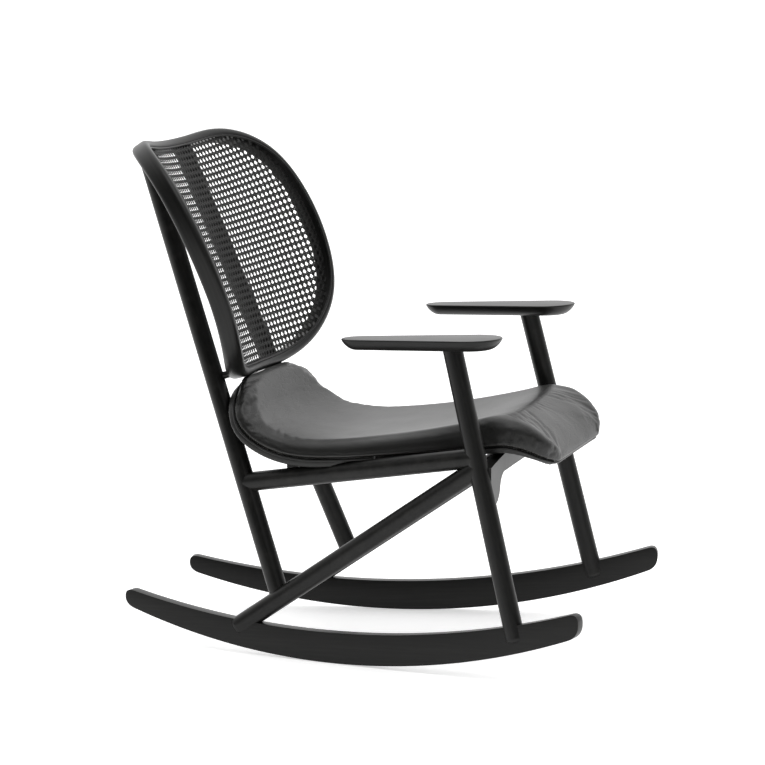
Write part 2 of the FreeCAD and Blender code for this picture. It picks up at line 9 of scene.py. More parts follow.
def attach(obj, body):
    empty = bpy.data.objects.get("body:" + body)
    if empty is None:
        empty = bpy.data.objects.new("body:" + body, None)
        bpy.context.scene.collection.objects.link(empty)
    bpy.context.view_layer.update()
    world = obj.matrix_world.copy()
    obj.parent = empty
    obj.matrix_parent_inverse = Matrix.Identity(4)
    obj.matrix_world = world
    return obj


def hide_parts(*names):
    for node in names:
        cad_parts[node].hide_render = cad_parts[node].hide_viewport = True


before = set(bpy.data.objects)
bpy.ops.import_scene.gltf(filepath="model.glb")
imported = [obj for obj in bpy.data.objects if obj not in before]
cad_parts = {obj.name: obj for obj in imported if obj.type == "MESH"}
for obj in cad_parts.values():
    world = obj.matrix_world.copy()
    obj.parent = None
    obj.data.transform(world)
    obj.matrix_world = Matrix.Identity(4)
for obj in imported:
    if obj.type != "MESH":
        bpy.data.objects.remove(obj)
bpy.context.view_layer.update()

# Camera: a long lens at arm height, well to the sitter's right of the chair and
# a little in front of it. It looks at the middle of the chair.
CAMERA_AZIMUTH, CAMERA_ELEVATION = math.radians(-73.39), math.radians(8.03)
CAMERA_TARGET, CAMERA_DISTANCE = Vector((0, 0.0067, 0.4872)), 6.162
toward_camera = Vector((math.sin(CAMERA_AZIMUTH) * math.cos(CAMERA_ELEVATION),
                        -math.cos(CAMERA_AZIMUTH) * math.cos(CAMERA_ELEVATION),
                        math.sin(CAMERA_ELEVATION)))
lens = bpy.data.cameras.new("camera")
lens.lens, lens.sensor_width = 153.2, 36.0
lens.clip_start, lens.clip_end = 0.1, 100.0
camera = bpy.data.objects.new("camera", lens)
camera.location = CAMERA_TARGET + toward_camera * CAMERA_DISTANCE
camera.rotation_mode = "QUATERNION"
camera.rotation_quaternion = (-toward_camera).to_track_quat("-Z", "Y")
bpy.context.scene.collection.objects.link(camera)
bpy.context.scene.camera = camera
bpy.context.scene.view_settings.view_transform = "Standard"


class Wire:
    """One output socket of a material, with Python's operators adding its Math nodes."""

    def __init__(self, finish, socket):
        self.finish, self.socket = finish, socket

    def _math(self, operation, first, second):
        return self.finish.node("ShaderNodeMath", {"operation": operation}, [first, second])

    def __add__(self, other):
        return self._math("ADD", self, other)

    def __radd__(self, other):
        return self._math("ADD", other, self)

    def __sub__(self, other):
        return self._math("SUBTRACT", self, other)

    def __rsub__(self, other):
        return self._math("SUBTRACT", other, self)

    def __mul__(self, other):
        return self._math("MULTIPLY", self, other)

    def __rmul__(self, other):
        return self._math("MULTIPLY", other, self)

    def __truediv__(self, other):
        return self._math("DIVIDE", self, other)

    def __pow__(self, other):
        return self._math("POWER", self, other)

    def up_to(self, other):
        return self._math("MINIMUM", self, other)

class Finish:
    """A material and the one method that adds nodes to it."""

    def __init__(self, name):
        self.material = bpy.data.materials.new(name)
        self.material.use_nodes = True
        self.tree = self.material.node_tree
        self.tree.nodes.clear()

    def node(self, kind, settings=None, values=None, out=0):
        made = self.tree.nodes.new(kind)
        for key, value in (settings or {}).items():
            if key == "stops":
                while len(made.color_ramp.elements) < len(value):
                    made.color_ramp.elements.new(0.5)
                for element, (place, colour) in zip(made.color_ramp.elements, value):
                    element.position, element.color = place, colour
            else:
                setattr(made, key, value)
        pairs = values.items() if isinstance(values, dict) else enumerate(values or [])
        for key, value in pairs:
            socket = made.inputs[key]
            if isinstance(value, Wire):
                self.tree.links.new(value.socket, socket)
            elif hasattr(value, "__len__") and len(value) == 3 and socket.type == "RGBA":
                socket.default_value = (*value, 1.0)
            else:
                socket.default_value = value
        return Wire(self, made.outputs[out]) if made.outputs else made

    def where(self):
        return self.node("ShaderNodeTexCoord", out="Object")

    def noise(self, vector, scale, detail=3.0, rough=0.5):
        return self.node("ShaderNodeTexNoise", {}, {"Vector": vector, "Scale": scale, "Detail": detail,
                                                    "Roughness": rough})

    def ramp(self, value, low, high, to_low=0.0, to_high=1.0):
        return self.node("ShaderNodeMapRange", {"clamp": True}, [value, low, high, to_low, to_high])

    def mix(self, factor, first, second):
        return self.node("ShaderNodeMix", {"data_type": "RGBA"}, {0: factor, 6: first, 7: second}, out=2)

    def bump(self, height, distance, strength=1.0, normal=None):
        values = {"Height": height, "Distance": distance, "Strength": strength}
        if normal is not None:
            values["Normal"] = normal
        return self.node("ShaderNodeBump", {}, values)

    def surface(self, **sockets):
        values = {key.replace("_", " "): value for key, value in sockets.items()}
        shader = self.node("ShaderNodeBsdfPrincipled", {}, values)
        self.node("ShaderNodeOutputMaterial", {}, {"Surface": shader})
        return self.material


def made_mesh(name, points, faces, material, smooth=True, uvs=None):
    mesh = bpy.data.meshes.new(name)
    mesh.from_pydata([tuple(p) for p in points], [], faces)
    mesh.polygons.foreach_set("use_smooth", [smooth] * len(mesh.polygons))
    if uvs is not None:
        layer = mesh.uv_layers.new(name="grain")
        layer.data.foreach_set("uv", np.asarray(uvs, np.float32).ravel())
    mesh.materials.append(material)
    mesh.update()
    piece = bpy.data.objects.new(name, mesh)
    bpy.context.scene.collection.objects.link(piece)
    return piece


# Studio: a pale floor, a white surround that is brighter behind and above the
# chair than on the camera's side, and two large soft lights.
floor_finish = Finish("studio_floor")
mottle = floor_finish.noise(floor_finish.where(), 1.3, 4)
floor_paint = floor_finish.surface(
    Base_Color=floor_finish.mix(mottle, (0.93, 0.93, 0.93), (0.96, 0.96, 0.96)), Roughness=0.55,
    Emission_Color=(1.0, 1.0, 1.0), Emission_Strength=0.55)
floor = made_mesh("studio_floor", [(-14, -14, -0.0008), (14, -14, -0.0008), (14, 14, -0.0008),
                                   (-14, 14, -0.0008)], [(0, 1, 2, 3)], floor_paint, False)

world = bpy.data.worlds.new("studio_surround")
world.use_nodes = True
bpy.context.scene.world = world
sky = world.node_tree
sky.nodes.clear()


def sky_node(kind, settings, values):
    made = sky.nodes.new(kind)
    for key, value in settings.items():
        setattr(made, key, value)
    for key, value in enumerate(values):
        if isinstance(value, bpy.types.NodeSocket):
            sky.links.new(value, made.inputs[key])
        elif value is not None:
            made.inputs[key].default_value = value
    return made


bright_side = Vector((-toward_camera.x, -toward_camera.y, 0.75)).normalized()
direction = sky_node("ShaderNodeTexCoord", {}, []).outputs["Generated"]
facing = sky_node("ShaderNodeVectorMath", {"operation": "DOT_PRODUCT"},
                  [direction, tuple(bright_side)]).outputs["Value"]
glow = sky_node("ShaderNodeMapRange", {"interpolation_type": "SMOOTHSTEP"},
                [facing, -0.45, 0.95, 0.03, 1.35]).outputs[0]
seen = sky_node("ShaderNodeLightPath", {}, []).outputs["Is Camera Ray"]
strength = sky_node("ShaderNodeMix", {"data_type": "FLOAT"}, [seen, None, glow, 1.2]).outputs[0]
sky_shader = sky_node("ShaderNodeBackground", {}, [(1.0, 1.0, 1.0, 1.0), strength])
sky_node("ShaderNodeOutputWorld", {}, [sky_shader.outputs[0]])


def soft_light(name, place, aim, size, power):
    data = bpy.data.lights.new(name, "AREA")
    data.shape, data.size, data.size_y, data.energy = "RECTANGLE", size[0], size[1], power
    lamp = bpy.data.objects.new(name, data)
    lamp.location = place
    lamp.rotation_mode = "QUATERNION"
    lamp.rotation_quaternion = (Vector(aim) - Vector(place)).to_track_quat("-Z", "Y")
    bpy.context.scene.collection.objects.link(lamp)


soft_light("overhead_softbox", (-0.8, -0.6, 3.2), (0, 0, 0.5), (2.2, 2.2), 30)
soft_light("side_softbox", (-3.2, -2.8, 2.2), (0, 0, 0.5), (1.2, 2.4), 7)

# Sizes that the whole chair shares with its construction, in millimetres.
FRAME_SHIFT, SPLAY = 6.7, math.radians(9.95)
MM = 0.001


def side_point(reach, height, inset=0.0):
    x = 247.0 + reach * math.sin(SPLAY) - inset * math.cos(SPLAY)
    y = 28.7 - reach * math.cos(SPLAY) - inset * math.sin(SPLAY)
    return Vector((-x, y + FRAME_SHIFT, height))


def black_wood(name, along, spread=1.0):
    """Black stain under satin lacquer on close-grained beech; along is the way the grain runs."""
    finish = Finish(name)
    place = finish.where()
    axis = Vector(along).normalized()
    side = axis.orthogonal().normalized()
    other = axis.cross(side)
    rows = [finish.node("ShaderNodeVectorMath", {"operation": "DOT_PRODUCT"}, [place, tuple(v)],
                        out="Value") for v in (axis, side, other)]
    fibre = finish.node("ShaderNodeCombineXYZ", {}, [rows[0] * 9.0, rows[1] * 210.0, rows[2] * 210.0])
    return wood_surface(finish, fibre, place, spread)


def wood_surface(finish, fibre, place, spread=1.0):
    pores = finish.noise(fibre, 1.0, 4.0, 0.62)
    figure = finish.noise(fibre, 0.16, 2.0)
    cloud = finish.noise(place, 7.0, 3.0)
    smudge = finish.noise(place, 38.0, 4.0, 0.6)
    streak = finish.ramp(pores, 0.42, 0.68) * 0.7 + finish.ramp(figure, 0.4, 0.7) * 0.3
    stain = finish.mix(streak, (0.0034, 0.0034, 0.0031), (0.0085, 0.0085, 0.0078))
    worn = finish.node("ShaderNodeNewGeometry", {}, out="Pointiness")
    edge = finish.ramp(worn, 0.53, 0.60) * finish.ramp(smudge, 0.45, 0.7)
    colour = finish.mix(edge * 0.4, stain, (0.022, 0.021, 0.019))
    rough = 0.335 + finish.ramp(cloud, 0.3, 0.7) * 0.05 + finish.ramp(pores, 0.3, 0.8) * 0.05
    grain = finish.bump(pores * 0.7 + figure * 0.3, 0.00012 * spread, 0.35)
    return finish.surface(Base_Color=colour, Roughness=rough, Normal=grain, Coat_Weight=0.06,
                          Coat_Roughness=0.25, Specular_IOR_Level=0.24)


# Rockers: two curved boards on edge, each 22 mm thick and 931 mm long, deepest in
# the middle, with eased edges and rounded tips.
SOLE_RADIUS, CROWN_RADIUS, CROWN_OFFSET, MID_DEPTH = 1357.0, 1757.0, 34.5, 56.5
ROCKER_REAR, ROCKER_FRONT, ROCKER_THICK = -429.5, 501.5, 22.0


def sole_height(reach):
    return SOLE_RADIUS - math.sqrt(SOLE_RADIUS ** 2 - reach ** 2)


def crown_height(reach):
    away = reach + CROWN_OFFSET
    return MID_DEPTH + CROWN_RADIUS - math.sqrt(CROWN_RADIUS ** 2 - away ** 2)


def rocker_outline(stations=150, tip=20.0):
    pairs = []
    for k in range(stations + 1):
        share = 0.5 - 0.5 * math.cos(math.pi * k / stations)
        reach = ROCKER_REAR + share * (ROCKER_FRONT - ROCKER_REAR)
        gap = min(reach - ROCKER_REAR, ROCKER_FRONT - reach) / tip
        fill = (1 - (1 - min(gap, 1.0)) ** 2.5) ** (1 / 2.5)
        low, high = sole_height(reach), crown_height(reach)
        middle, half = (low + high) / 2, (high - low) / 2 * fill
        pairs.append((reach, middle - half, middle + half))
    return pairs


def eased_board(name, outline, across, width, material, ease=3.2, segments=4):
    """A board cut to an outline given as (place, low, high) points, its edges rounded."""
    points, faces = [], []
    for side in (-1, 1):
        for at, low, high in outline:
            points += [at(low) + across * (side * width / 2), at(high) + across * (side * width / 2)]
    count = len(outline)
    for k in range(count - 1):
        a = 2 * k
        b = 2 * count + 2 * k
        faces += [(a, a + 1, a + 3, a + 2), (b, b + 2, b + 3, b + 1),
                  (a, a + 2, b + 2, b), (a + 1, b + 1, b + 3, a + 3)]
    last = 2 * (count - 1)
    faces += [(0, 2 * count, 2 * count + 1, 1), (last, last + 1, 2 * count + last + 1, 2 * count + last)]
    piece = made_mesh(name, [p * MM for p in points], faces, material)
    work = bmesh.new()
    work.from_mesh(piece.data)
    bmesh.ops.remove_doubles(work, verts=work.verts, dist=0.00002)
    bmesh.ops.recalc_face_normals(work, faces=work.faces)
    rim = [e for e in work.edges if len(e.link_faces) == 2
           and e.link_faces[0].normal.angle(e.link_faces[1].normal, 0) > 0.9
           and abs((e.verts[0].co - e.verts[1].co).normalized().dot(across)) < 0.5]
    bmesh.ops.bevel(work, geom=rim, offset=ease * MM, segments=segments, profile=0.5,
                    affect="EDGES", clamp_overlap=True)
    work.to_mesh(piece.data)
    work.free()
    piece.data.polygons.foreach_set("use_smooth", [True] * len(piece.data.polygons))
    return piece


def add_sharp_shading(piece, angle=0.6):
    for poly in piece.data.polygons:
        poly.use_smooth = True
    piece.data.set_sharp_from_angle(angle=angle)


rocker_finish = {side: black_wood("rocker_wood_" + side, (sign * math.sin(SPLAY), -math.cos(SPLAY), 0.05))
                 for side, sign in (("right", -1), ("left", 1))}
for side, sign in (("right", 1), ("left", -1)):
    outline = []
    for reach, low, high in rocker_outline():
        base = side_point(reach, 0)
        outline.append((lambda h, b=base: Vector((b.x * sign, b.y, h)), low, high))
    across = Vector((math.cos(SPLAY) * sign, -math.sin(SPLAY), 0))
    rocker = eased_board("bent_rocker_" + side, outline, across, ROCKER_THICK, rocker_finish[side])
    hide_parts("rocker_" + side)
    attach(rocker, "root")

# Legs, struts, side rails and rear posts: turned from one 36 mm bar, scribed to
# each other and rounded at the feet. They keep their solids and get the stain.
BAR_WAYS = {"front_leg": (-0.04, 0.24, 0.97), "strut": (0.15, -0.84, 0.5), "side_rail": (0.2, -0.95, 0.2),
            "rear_post": (0.14, 0.35, 0.92)}
for group, way in BAR_WAYS.items():
    for side, sign in (("right", 1), ("left", -1)):
        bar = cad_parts["%s_%s" % (group, side)]
        bar.data.materials.clear()
        bar.data.materials.append(black_wood("%s_wood_%s" % (group, side), (way[0] * sign, way[1], way[2])))

# Armrests: flat paddles 21 mm thick with a crisp top edge and an underside that
# sweeps in like a boat's hull, widest over the leg.
ARM_SMALL, ARM_LARGE, ARM_LENGTH, ARM_SLOPE = 33.0, 55.0, 298.0, math.radians(2)
ARM_SPOT = (280.0, -156.0 + FRAME_SHIFT, 612.0)
ARM_PROFILE = [(2.6, 0.0), (1.5, 0.12), (0.7, 0.5), (0.2, 1.1), (0.0, 1.9), (0.35, 2.9), (1.1, 4.2),
               (2.4, 6.4), (4.4, 9.2), (6.8, 12.0), (9.6, 14.6), (12.6, 16.9), (15.8, 18.8), (19.0, 20.1),
               (22.0, 20.8), (25.0, 21.0)]


def arm_outline(inset, count=72):
    back_y, front_y = ARM_LENGTH / 2 - ARM_SMALL, ARM_LARGE - ARM_LENGTH / 2
    lean = math.asin((ARM_LARGE - ARM_SMALL) / (back_y - front_y))
    points = []
    for k in range(count):
        angle = lean + (math.pi - 2 * lean) * k / (count - 1)
        points.append(((ARM_SMALL - inset) * math.cos(angle),
                       back_y + (ARM_SMALL - inset) * math.sin(angle)))
    for k in range(count):
        angle = math.pi - lean + (math.pi + 2 * lean) * k / (count - 1)
        points.append(((ARM_LARGE - inset) * math.cos(angle),
                       front_y + (ARM_LARGE - inset) * math.sin(angle)))
    return points


def arm_rings(sign):
    rings = []
    turn = Matrix.Rotation(-ARM_SLOPE, 3, "X")
    for inset, depth in ARM_PROFILE:
        ring = []
        for x, y in arm_outline(inset):
            spot = turn @ Vector((x * sign, y, -depth))
            ring.append((spot + Vector((-ARM_SPOT[0] * sign, ARM_SPOT[1], ARM_SPOT[2]))) * MM)
        rings.append(ring)
    return rings


def skin(rings, closed=True, caps=True):
    count = len(rings[0])
    points = [p for ring in rings for p in ring]
    faces = []
    for r in range(len(rings) - 1):
        for k in range(count if closed else count - 1):
            a, b = r * count + k, r * count + (k + 1) % count
            faces.append((a, b, b + count, a + count))
    if caps:
        faces.append(tuple(reversed(range(count))))
        faces.append(tuple(range(len(points) - count, len(points))))
    return points, faces


for side, sign in (("right", 1), ("left", -1)):
    points, faces = skin(arm_rings(sign))
    if sign < 0:
        faces = [tuple(reversed(f)) for f in faces]
    arm = made_mesh("paddle_armrest_" + side, points, faces, black_wood("armrest_wood_" + side, (0, 1, 0.03)))
    add_sharp_shading(arm)
    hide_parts("armrest_" + side)
    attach(arm, "root")

# Back hoop: one board, 36 mm deep and 18 mm thick, steamed round to a closed
# ring that follows the curved cane back. Its outer side is well rounded.
HOOP_DEPTH, HOOP_EXTRA, HOOP_THICK, CANE_SETBACK = 36.0, 4.4, 18.0, 4.0
BOTTOM_DEPTH, BOTTOM_HEIGHT, MID_RISE = 236.6, 504.2, 240.0
RECLINE, RECLINE_GAIN, RECLINE_CURVE = 22.3, 8.8, 3.3
WING, WING_LOSS, WING_CURVE = 69.6, 11.8, 7.2
HOOP_NODES = [(0, -2.1), (109.8, -0.2), (216.7, 22.8), (300.7, 90.5), (338.4, 193.0), (342.0, 302.2),
              (307.9, 405.7), (218.5, 467.3), (109.8, 478.6), (0, 479.0)]


def recline(rise):
    """Lean of the back at a rise along its middle line from the bottom of the hoop."""
    part = (np.asarray(rise, float) - MID_RISE) / MID_RISE
    return np.radians(RECLINE + RECLINE_GAIN * part + RECLINE_CURVE * part * part)


line_rise = np.linspace(-40, 540, 1161)
line_angle = recline((line_rise[1:] + line_rise[:-1]) / 2)
line_depth = np.concatenate([[0], np.cumsum(np.sin(line_angle) * 0.5)])
line_height = np.concatenate([[0], np.cumsum(np.cos(line_angle) * 0.5)])
line_depth += BOTTOM_DEPTH + FRAME_SHIFT - np.interp(0, line_rise, line_depth)
line_height += BOTTOM_HEIGHT - np.interp(0, line_rise, line_height)


def back_surface(across, rise, lift=0.0):
    """Points of the curved back at a distance behind its front face, in millimetres."""
    across, rise = np.asarray(across, float), np.asarray(rise, float)

    def at(a, r):
        part = (r - MID_RISE) / MID_RISE
        wing = (WING - WING_LOSS * part + WING_CURVE * part * part) * (a / 300.0) ** 2
        angle = recline(r)
        return np.stack([a, np.interp(r, line_rise, line_depth) - np.cos(angle) * wing,
                         np.interp(r, line_rise, line_height) + np.sin(angle) * wing], -1)
    spot = at(across, rise)
    normal = np.cross(at(across, rise + 1) - at(across, rise - 1),
                      at(across + 1, rise) - at(across - 1, rise))
    normal /= np.linalg.norm(normal, axis=-1, keepdims=True)
    return spot + normal * np.asarray(lift, float)[..., None], normal


def closed_spline(nodes, count):
    """A smooth closed line through the nodes, as evenly spaced points and their headings."""
    nodes = np.asarray(nodes, float)
    span = np.linalg.norm(np.roll(nodes, -1, 0) - nodes, axis=1)
    size = len(nodes)
    system, right = np.zeros((size, size)), np.zeros((size, 2))
    for k in range(size):
        before, after = span[k - 1], span[k]
        system[k, k - 1], system[k, k], system[k, (k + 1) % size] = after, 2 * (before + after), before
        right[k] = 3 * (after * (nodes[k] - nodes[k - 1]) / before
                        + before * (nodes[(k + 1) % size] - nodes[k]) / after)
    slope = np.linalg.solve(system, right)
    fine = []
    for k in range(size):
        t = np.linspace(0, 1, 200, endpoint=False)[:, None]
        p, q, m, n = nodes[k], nodes[(k + 1) % size], slope[k] * span[k], slope[(k + 1) % size] * span[k]
        fine.append((2 * t ** 3 - 3 * t ** 2 + 1) * p + (t ** 3 - 2 * t ** 2 + t) * m
                    + (3 * t ** 2 - 2 * t ** 3) * q + (t ** 3 - t ** 2) * n)
    fine = np.concatenate(fine)
    loop = np.vstack([fine, fine[:1]])
    run = np.concatenate([[0], np.cumsum(np.linalg.norm(np.diff(loop, axis=0), axis=1))])
    marks = np.linspace(0, run[-1], count, endpoint=False)
    points = np.stack([np.interp(marks, run, loop[:, 0]), np.interp(marks, run, loop[:, 1])], 1)
    heading = np.roll(points, -1, 0) - np.roll(points, 1, 0)
    heading /= np.linalg.norm(heading, axis=1, keepdims=True)
    return points, heading, marks


hoop_nodes = HOOP_NODES + [(-x, w) for x, w in reversed(HOOP_NODES[1:-1])]
HOOP_STATIONS = 420
hoop_line, hoop_heading, hoop_marks = closed_spline(hoop_nodes, HOOP_STATIONS)
hoop_inward = np.stack([-hoop_heading[:, 1], hoop_heading[:, 0]], 1)
hoop_base, _ = back_surface(hoop_line[:, 0], hoop_line[:, 1])
ahead = hoop_line + hoop_inward * 10
hoop_thick = back_surface(ahead[:, 0], ahead[:, 1])[0] - hoop_base
hoop_lean = recline(hoop_line[:, 1])
hoop_rear = np.stack([np.zeros(HOOP_STATIONS), np.cos(hoop_lean), -np.sin(hoop_lean)], 1)
hoop_thick -= hoop_rear * np.sum(hoop_thick * hoop_rear, axis=1, keepdims=True)
hoop_thick /= np.linalg.norm(hoop_thick, axis=1, keepdims=True)
hoop_rear *= 1 + HOOP_EXTRA / HOOP_DEPTH * np.clip(1 - hoop_line[:, 1:] / 150, 0, 1)


def rounded_section(corners, steps=7):
    """(inward, rearward) points round a section whose corners are (inward, rearward, radius)."""
    points = []
    count = len(corners)
    for k in range(count):
        here = Vector(corners[k][:2])
        before, after = Vector(corners[k - 1][:2]), Vector(corners[(k + 1) % count][:2])
        reach = corners[k][2]
        first, last = here + (before - here).normalized() * reach, here + (after - here).normalized() * reach
        for s in range(steps + 1):
            t = s / steps
            points.append(first * (1 - t) ** 2 + here * 2 * t * (1 - t) * 0.92 + last * t ** 2
                          + (first + last) * t * (1 - t) * 0.08)
    return points


def swept_ring(name, section, material):
    rings = []
    for a, b in section:
        rings.append((hoop_base + hoop_thick * a + hoop_rear * b) * MM)
    count = len(section)
    points = np.concatenate(rings)
    faces, uvs = [], []
    around = np.concatenate([[0], np.cumsum([(Vector(section[(k + 1) % count]) - Vector(section[k])).length
                                             for k in range(count)])])
    total = hoop_marks[1] * HOOP_STATIONS
    for k in range(count):
        other = (k + 1) % count
        for s in range(HOOP_STATIONS):
            t = (s + 1) % HOOP_STATIONS
            faces.append((k * HOOP_STATIONS + s, k * HOOP_STATIONS + t,
                          other * HOOP_STATIONS + t, other * HOOP_STATIONS + s))
            u0, u1 = hoop_marks[s] / 1000, (hoop_marks[t] if t else total) / 1000
            v0, v1 = around[k] / 1000, around[k + 1] / 1000
            uvs += [(u0, v0), (u1, v0), (u1, v1), (u0, v1)]
    piece = made_mesh(name, points, faces, material, True, uvs)
    check = bmesh.new()
    check.from_mesh(piece.data)
    bmesh.ops.recalc_face_normals(check, faces=check.faces)
    check.to_mesh(piece.data)
    check.free()
    return piece


def bent_wood(name):
    """The same black stain where the grain follows a bend, read from the grain map."""
    finish = Finish(name)
    grain_map = finish.node("ShaderNodeUVMap", {"uv_map": "grain"})
    spread = finish.node("ShaderNodeVectorMath", {"operation": "MULTIPLY"}, [grain_map, (9.0, 210.0, 1.0)])
    return wood_surface(finish, spread, finish.where())


hoop_section = rounded_section([(HOOP_THICK, 0, 5.5), (0, 0, 10.5), (0, HOOP_DEPTH, 10.5),
                                (HOOP_THICK, HOOP_DEPTH, 4.0)])
hoop = swept_ring("steamed_back_hoop", [tuple(p) for p in hoop_section], bent_wood("hoop_wood"))
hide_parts("back_hoop")
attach(hoop, "root")

# Cane back: strand cane woven in the usual way, pairs of uprights and crosses
# with two diagonals that leave eight-sided holes at a pitch of half an inch.
CANE_PITCH, PAIR_GAP, STRAND_WIDTH, DIAGONAL_WIDTH, STRAND_THICK = 12.7, 1.18, 2.3, 2.2, 0.75
edge_line = hoop_line + hoop_inward * 12.5


def inside_edge(points):
    """True where a point of the back lies inside the hoop's groove."""
    x, y = points[:, 0], points[:, 1]
    odd = np.zeros(len(points), bool)
    for (x0, y0), (x1, y1) in zip(edge_line, np.roll(edge_line, -1, 0)):
        crosses = (y0 > y) != (y1 > y)
        with np.errstate(divide="ignore", invalid="ignore"):
            odd ^= crosses & (x < (x1 - x0) * (y - y0) / (y1 - y0) + x0)
    return odd


cane_points, cane_faces = [], []


def lay_strand(track, level, width):
    """Adds one strand along track, at a level over the weave's middle for each point."""
    kept = inside_edge(track)
    if kept.sum() < 3:
        return
    first, last = np.argmax(kept), len(kept) - np.argmax(kept[::-1])
    track, level = track[first:last], level[first:last]
    spot, normal = back_surface(track[:, 0], track[:, 1])
    run = np.gradient(spot, axis=0)
    run /= np.linalg.norm(run, axis=1, keepdims=True)
    sideways = np.cross(run, normal)
    depth = CANE_SETBACK + 1.2 - level
    start = sum(len(p) for p in cane_points)
    shape = [(-0.5, 0.42), (-0.36, -0.38), (0.0, -0.5), (0.36, -0.38), (0.5, 0.42)]
    rows = np.stack([spot + sideways * (a * width) + normal * (depth + b * STRAND_THICK)[:, None]
                     for a, b in shape], 1)
    cane_points.append(rows.reshape(-1, 3) * MM)
    for k in range(len(track) - 1):
        for s in range(5):
            a, b = start + k * 5 + s, start + k * 5 + (s + 1) % 5
            cane_faces.append((a, a + 5, b + 5, b))
    cane_faces.append(tuple(start + s for s in range(5)))
    cane_faces.append(tuple(start + (len(track) - 1) * 5 + s for s in reversed(range(5))))


def crossing_marks(low, high):
    marks = []
    for k in range(math.floor(low / CANE_PITCH), math.ceil(high / CANE_PITCH) + 1):
        middle = (k + 0.5) * CANE_PITCH
        marks += [(middle - PAIR_GAP, k, 0), (middle + PAIR_GAP, k, 1), (middle + 4.4, k, 2),
                  (middle + 8.3, k, 2)]
    return marks


for k in range(-27, 27):
    for half, offset in enumerate((-PAIR_GAP, PAIR_GAP)):
        x = (k + 0.5) * CANE_PITCH + offset
        marks = crossing_marks(-5, 485)
        level = [0.0 if kind == 2 else 0.2 * (-1) ** (half + kind) for _, _, kind in marks]
        lay_strand(np.array([(x, m[0]) for m in marks]), np.array(level), STRAND_WIDTH)
for k in range(-1, 39):
    for half, offset in enumerate((-PAIR_GAP, PAIR_GAP)):
        w = (k + 0.5) * CANE_PITCH + offset
        marks = crossing_marks(-335, 335)
        level = [0.0 if kind == 2 else -0.2 * (-1) ** (half + kind) for _, _, kind in marks]
        lay_strand(np.array([(m[0], w) for m in marks]), np.array(level), STRAND_WIDTH)
for lean in (1, -1):
    for k in range(-70, 70):
        track, level = [], []
        for j in range(-32, 32):
            x = (j + 0.5) * CANE_PITCH
            w = (lean * j + k + 1) * CANE_PITCH
            if not (-25 < w < 505 and -350 < x < 350):
                continue
            for step, height in ((-1.9, lean), (1.9, lean), (4.45, -lean), (8.25, -lean)):
                track.append((x + step, w + lean * step))
                level.append(0.5 * height)
        if len(track) > 8:
            lay_strand(np.array(track), np.array(level), DIAGONAL_WIDTH)

cane_finish = Finish("black_cane")
cane_place = cane_finish.where()
fibre_noise = cane_finish.noise(cane_place, 900.0, 3.0)
batch_noise = cane_finish.noise(cane_place, 26.0, 3.0)
cane_colour = cane_finish.mix(cane_finish.ramp(batch_noise, 0.35, 0.65), (0.0045, 0.0045, 0.0042),
                              (0.011, 0.0108, 0.010))
cane_paint = cane_finish.surface(
    Base_Color=cane_colour, Roughness=0.36 + cane_finish.ramp(fibre_noise, 0.3, 0.7) * 0.16,
    Normal=cane_finish.bump(fibre_noise, 0.00008, 0.5), Coat_Weight=0.05, Coat_Roughness=0.25,
    Specular_IOR_Level=0.28)
cane = made_mesh("woven_cane_back", np.concatenate(cane_points), cane_faces, cane_paint)
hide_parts("cane_panel")
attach(cane, "root")

# Cane spline: a thin reed pressed into the groove over the cut ends of the cane.
bead_section = [(HOOP_THICK + 1.2 + 2.3 * math.cos(a), CANE_SETBACK - 1.0 + 2.0 * math.sin(a))
                for a in np.linspace(0, 2 * math.pi, 14, endpoint=False)]
bead = swept_ring("cane_groove_reed", bead_section, bent_wood("reed_wood"))
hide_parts("cane_spline")
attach(bead, "root")

# Seat line: the curved shell in side view, as (depth, height, pad thickness, half
# width) from the top of the bucket down and forward to the rolled front lip.
SEAT_LINE = [(232.0, 497.5, 14, 122), (231.5, 484, 20, 166), (225, 463, 25, 207), (203, 424, 28, 238),
             (152, 391, 28, 244), (88, 378, 28, 248), (20, 379.5, 29, 250), (-70, 388, 32, 252),
             (-165, 398, 38, 252), (-235, 408, 42, 252), (-265, 412, 45, 250), (-300, 415, 45, 246),
             (-326, 410, 42, 236), (-346, 401, 36, 222), (-362, 391, 30, 204), (-376, 382, 20, 176)]


def smooth_run(points, per=16):
    """A smooth open line through the points, per steps to each span."""
    points = np.asarray(points, float)
    padded = np.vstack([2 * points[0] - points[1], points, 2 * points[-1] - points[-2]])
    run = []
    for k in range(1, len(padded) - 2):
        p0, p1, p2, p3 = padded[k - 1:k + 3]
        for t in np.linspace(0, 1, per, endpoint=False):
            run.append(p1 + 0.5 * t * (p2 - p0 + t * (2 * p0 - 5 * p1 + 4 * p2 - p3
                                                      + t * (3 * (p1 - p2) + p3 - p0))))
    run.append(padded[-2])
    return np.array(run)


seat_run = smooth_run(SEAT_LINE)
seat_run[:, 0] += FRAME_SHIFT
seat_heading = np.gradient(seat_run[:, :2], axis=0)
seat_heading /= np.linalg.norm(seat_heading, axis=1, keepdims=True)
seat_lift = np.stack([seat_heading[:, 1], -seat_heading[:, 0]], 1)
seat_length = np.concatenate([[0], np.cumsum(np.linalg.norm(np.diff(seat_run[:, :2], axis=0), axis=1))])


def over_seat_line(points):
    """Height over the seat line, square to it, for points in millimetres."""
    nearest = np.empty(len(points), int)
    for start in range(0, len(points), 4000):
        block = points[start:start + 4000]
        gap = (block[:, 1:2] - seat_run[None, :, 0]) ** 2 + (block[:, 2:3] - seat_run[None, :, 1]) ** 2
        nearest[start:start + 4000] = np.argmin(gap, axis=1)
    away = points[:, 1:] - seat_run[nearest, :2]
    return np.sum(away * seat_lift[nearest], axis=1)


